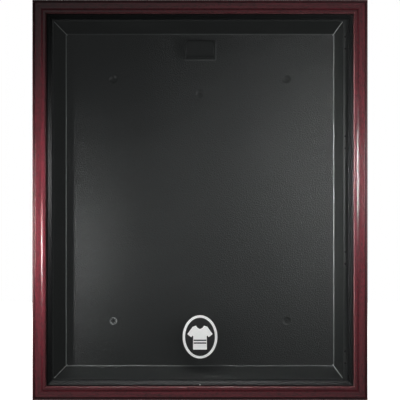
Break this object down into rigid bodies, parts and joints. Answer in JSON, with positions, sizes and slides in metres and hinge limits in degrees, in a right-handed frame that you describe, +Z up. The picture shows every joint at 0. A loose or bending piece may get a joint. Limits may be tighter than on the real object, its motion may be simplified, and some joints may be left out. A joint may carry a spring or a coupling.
{
  "type": "jersey display case",
  "caption": "Shallow wall case with a hinged glazed timber door and a moulded black backing tray, made to show a folded jersey.",
  "frame": {"origin": "centre of the flat back of the tray, on the wall plane", "axes": "+Z up, +X to the right of a viewer who faces the case, front towards -Y"},
  "size_m": [0.864, 0.0758, 1.032],
  "materials": {
    "mahogany": "dark red mahogany stain under satin lacquer",
    "liner_black": "black satin",
    "black_plastic": "black, pebble grained",
    "clear_acrylic": "clear polished sheet",
    "print_white": "white and black print",
    "key_beech": "bare wood",
    "magnet_nickel": "nickel plated",
    "bright_steel": "zinc plated",
    "blacked_steel": "black enamel"
  },
  "bodies": {
    "case": {"back_tray": "black_plastic", "case_hinge_leaf_bottom": "blacked_steel", "case_hinge_leaf_lower": "blacked_steel", "case_hinge_leaf_top": "blacked_steel", "case_hinge_leaf_upper": "blacked_steel", "case_hinge_screw_bottom_a": "blacked_steel", "case_hinge_screw_bottom_b": "blacked_steel", "case_hinge_screw_lower_a": "blacked_steel", "case_hinge_screw_lower_b": "blacked_steel", "case_hinge_screw_top_a": "blacked_steel", "case_hinge_screw_top_b": "blacked_steel", "case_hinge_screw_upper_a": "blacked_steel", "case_hinge_screw_upper_b": "blacked_steel", "catch_strike_lower": "bright_steel", "catch_strike_upper": "bright_steel", "hanger_hook": "black_plastic", "hinge_pin_bottom": "blacked_steel", "hinge_pin_lower": "blacked_steel", "hinge_pin_top": "blacked_steel", "hinge_pin_upper": "blacked_steel", "hook_screw_left": "blacked_steel", "hook_screw_right": "blacked_steel"},
    "door": {"catch_magnet_lower": "magnet_nickel", "catch_magnet_upper": "magnet_nickel", "clear_panel": "clear_acrylic", "door_hinge_leaf_bottom": "blacked_steel", "door_hinge_leaf_lower": "blacked_steel", "door_hinge_leaf_top": "blacked_steel", "door_hinge_leaf_upper": "blacked_steel", "door_hinge_screw_bottom_a": "blacked_steel", "door_hinge_screw_bottom_b": "blacked_steel", "door_hinge_screw_lower_a": "blacked_steel", "door_hinge_screw_lower_b": "blacked_steel", "door_hinge_screw_top_a": "blacked_steel", "door_hinge_screw_top_b": "blacked_steel", "door_hinge_screw_upper_a": "blacked_steel", "door_hinge_screw_upper_b": "blacked_steel", "front_emblem": "print_white", "glazing_point_bottom": "bright_steel", "glazing_point_left_lower": "bright_steel", "glazing_point_left_middle": "bright_steel", "glazing_point_left_upper": "bright_steel", "glazing_point_right_lower": "bright_steel", "glazing_point_right_middle": "bright_steel", "glazing_point_right_upper": "bright_steel", "glazing_point_top": "bright_steel", "liner_bottom": "liner_black", "liner_left": "liner_black", "liner_right": "liner_black", "liner_top": "liner_black", "mitre_key_bottom_left": "key_beech", "mitre_key_bottom_right": "key_beech", "mitre_key_top_left": "key_beech", "mitre_key_top_right": "key_beech", "pull_stud": "bright_steel", "rail_bottom": "mahogany", "rail_top": "mahogany", "stile_left": "mahogany", "stile_right": "mahogany"}
  },
  "joints": [
    {"name": "door_hinge", "type": "hinge", "parent": "case", "child": "door", "pos_m": [0.412, -0.0488, 0], "axis": [0, 0, 1], "range_deg": [0, 100]}
  ]
}
